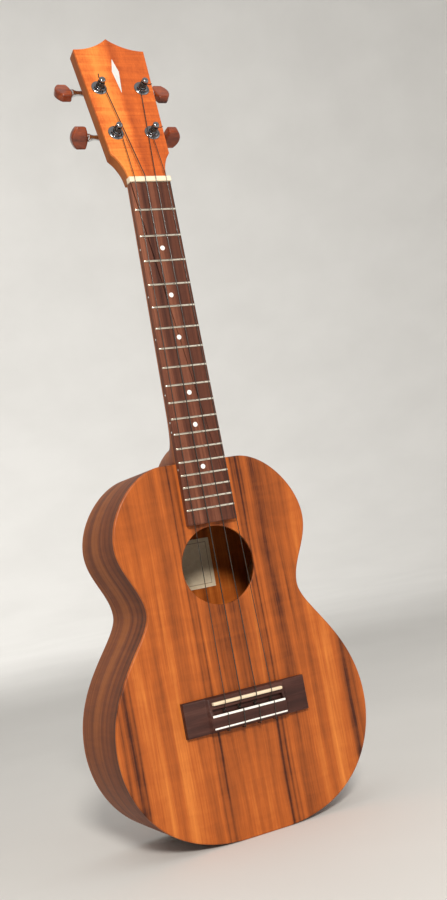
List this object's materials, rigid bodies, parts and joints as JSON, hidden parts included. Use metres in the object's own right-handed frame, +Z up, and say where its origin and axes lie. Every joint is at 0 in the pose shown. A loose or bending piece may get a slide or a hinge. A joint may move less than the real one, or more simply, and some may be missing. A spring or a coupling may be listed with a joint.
{
  "type": "tenor ukulele",
  "caption": "Small four-string lute with a waisted hollow body, round sound hole, fretted neck and a tilted headstock with open-gear tuning machines.",
  "frame": {"origin": "below the middle of the bounding box, at the level of the tail end", "axes": "+Z up the neck, -Y out of the soundboard, +X to the right seen from the front"},
  "size_m": [0.2264, 0.1008, 0.693],
  "materials": {
    "koa": "satin",
    "spruce": "raw",
    "bridge_wood": "satin",
    "lining": "raw",
    "dark_chrome": "polished",
    "button_wood": "satin",
    "dot": "polished",
    "rosewood": "satin",
    "nickel": "polished",
    "brass": "satin",
    "pearl": "polished",
    "head_koa": "satin",
    "paper": "matt",
    "neck_wood": "satin",
    "bone": "satin",
    "string": "gloss",
    "white_strip": "satin",
    "bright_metal": "polished"
  },
  "bodies": {
    "body": {"back": "koa", "back_braces": "spruce", "back_strip": "spruce", "bridge": "bridge_wood", "bridge_plate": "lining", "bushings": "dark_chrome", "fret_markers": "dot", "fretboard": "rosewood", "frets": "nickel", "head_inlay": "pearl", "head_plate": "head_koa", "label": "paper", "lining_back": "lining", "lining_top": "lining", "neck": "neck_wood", "neck_block": "lining", "nut": "bone", "plate_screws": "dark_chrome", "saddle": "bone", "side_bass": "koa", "side_markers": "dot", "side_treble": "koa", "soundboard": "koa", "string_a": "string", "string_c": "string", "string_e": "string", "string_g": "string", "tail_block": "lining", "tie_strips": "white_strip", "top_braces": "spruce", "tuner_plate_a": "dark_chrome", "tuner_plate_c": "dark_chrome", "tuner_plate_e": "dark_chrome", "tuner_plate_g": "dark_chrome", "washers": "dark_chrome"},
    "button_g_shaft": {"worm_shaft_g": "bright_metal", "button_g": "button_wood"},
    "post_g_spindle": {"post_g": "dark_chrome", "gear_g": "brass", "gear_screw_g": "dark_chrome", "winding_g": "string"},
    "button_c_shaft": {"worm_shaft_c": "bright_metal", "button_c": "button_wood"},
    "post_c_spindle": {"post_c": "dark_chrome", "gear_c": "brass", "gear_screw_c": "dark_chrome", "winding_c": "string"},
    "button_e_shaft": {"worm_shaft_e": "bright_metal", "button_e": "button_wood"},
    "post_e_spindle": {"post_e": "dark_chrome", "gear_e": "brass", "gear_screw_e": "dark_chrome", "winding_e": "string"},
    "button_a_shaft": {"worm_shaft_a": "bright_metal", "button_a": "button_wood"},
    "post_a_spindle": {"post_a": "dark_chrome", "gear_a": "brass", "gear_screw_a": "dark_chrome", "winding_a": "string"}
  },
  "joints": [
    {"name": "button_g_turn", "type": "hinge", "parent": "body", "child": "button_g_shaft", "pos_m": [-0.01685, -0.0104, 0.5987], "axis": [-1, 0, 0], "continuous": true},
    {"name": "post_g_turn", "type": "hinge", "parent": "body", "child": "post_g_spindle", "pos_m": [-0.01685, -0.01699, 0.59189], "axis": [0, 0.9703, -0.2419], "continuous": true},
    {"name": "button_c_turn", "type": "hinge", "parent": "body", "child": "button_c_shaft", "pos_m": [-0.0199, 0.00097, 0.6443], "axis": [-1, 0, 0], "continuous": true},
    {"name": "post_c_turn", "type": "hinge", "parent": "body", "child": "post_c_spindle", "pos_m": [-0.0199, -0.00562, 0.6375], "axis": [0, 0.9703, -0.2419], "continuous": true},
    {"name": "button_e_turn", "type": "hinge", "parent": "body", "child": "button_e_shaft", "pos_m": [0.0199, 0.00097, 0.6443], "axis": [1, 0, 0], "continuous": true},
    {"name": "post_e_turn", "type": "hinge", "parent": "body", "child": "post_e_spindle", "pos_m": [0.0199, -0.00562, 0.6375], "axis": [0, 0.9703, -0.2419], "continuous": true},
    {"name": "button_a_turn", "type": "hinge", "parent": "body", "child": "button_a_shaft", "pos_m": [0.01685, -0.0104, 0.5987], "axis": [1, 0, 0], "continuous": true},
    {"name": "post_a_turn", "type": "hinge", "parent": "body", "child": "post_a_spindle", "pos_m": [0.01685, -0.01699, 0.59189], "axis": [0, 0.9703, -0.2419], "continuous": true}
  ],
  "couplings": [
    {"joint": "post_g_turn", "follows": "button_g_turn", "ratio": 0.071429},
    {"joint": "post_c_turn", "follows": "button_c_turn", "ratio": 0.071429},
    {"joint": "post_e_turn", "follows": "button_e_turn", "ratio": 0.071429},
    {"joint": "post_a_turn", "follows": "button_a_turn", "ratio": 0.071429}
  ]
}
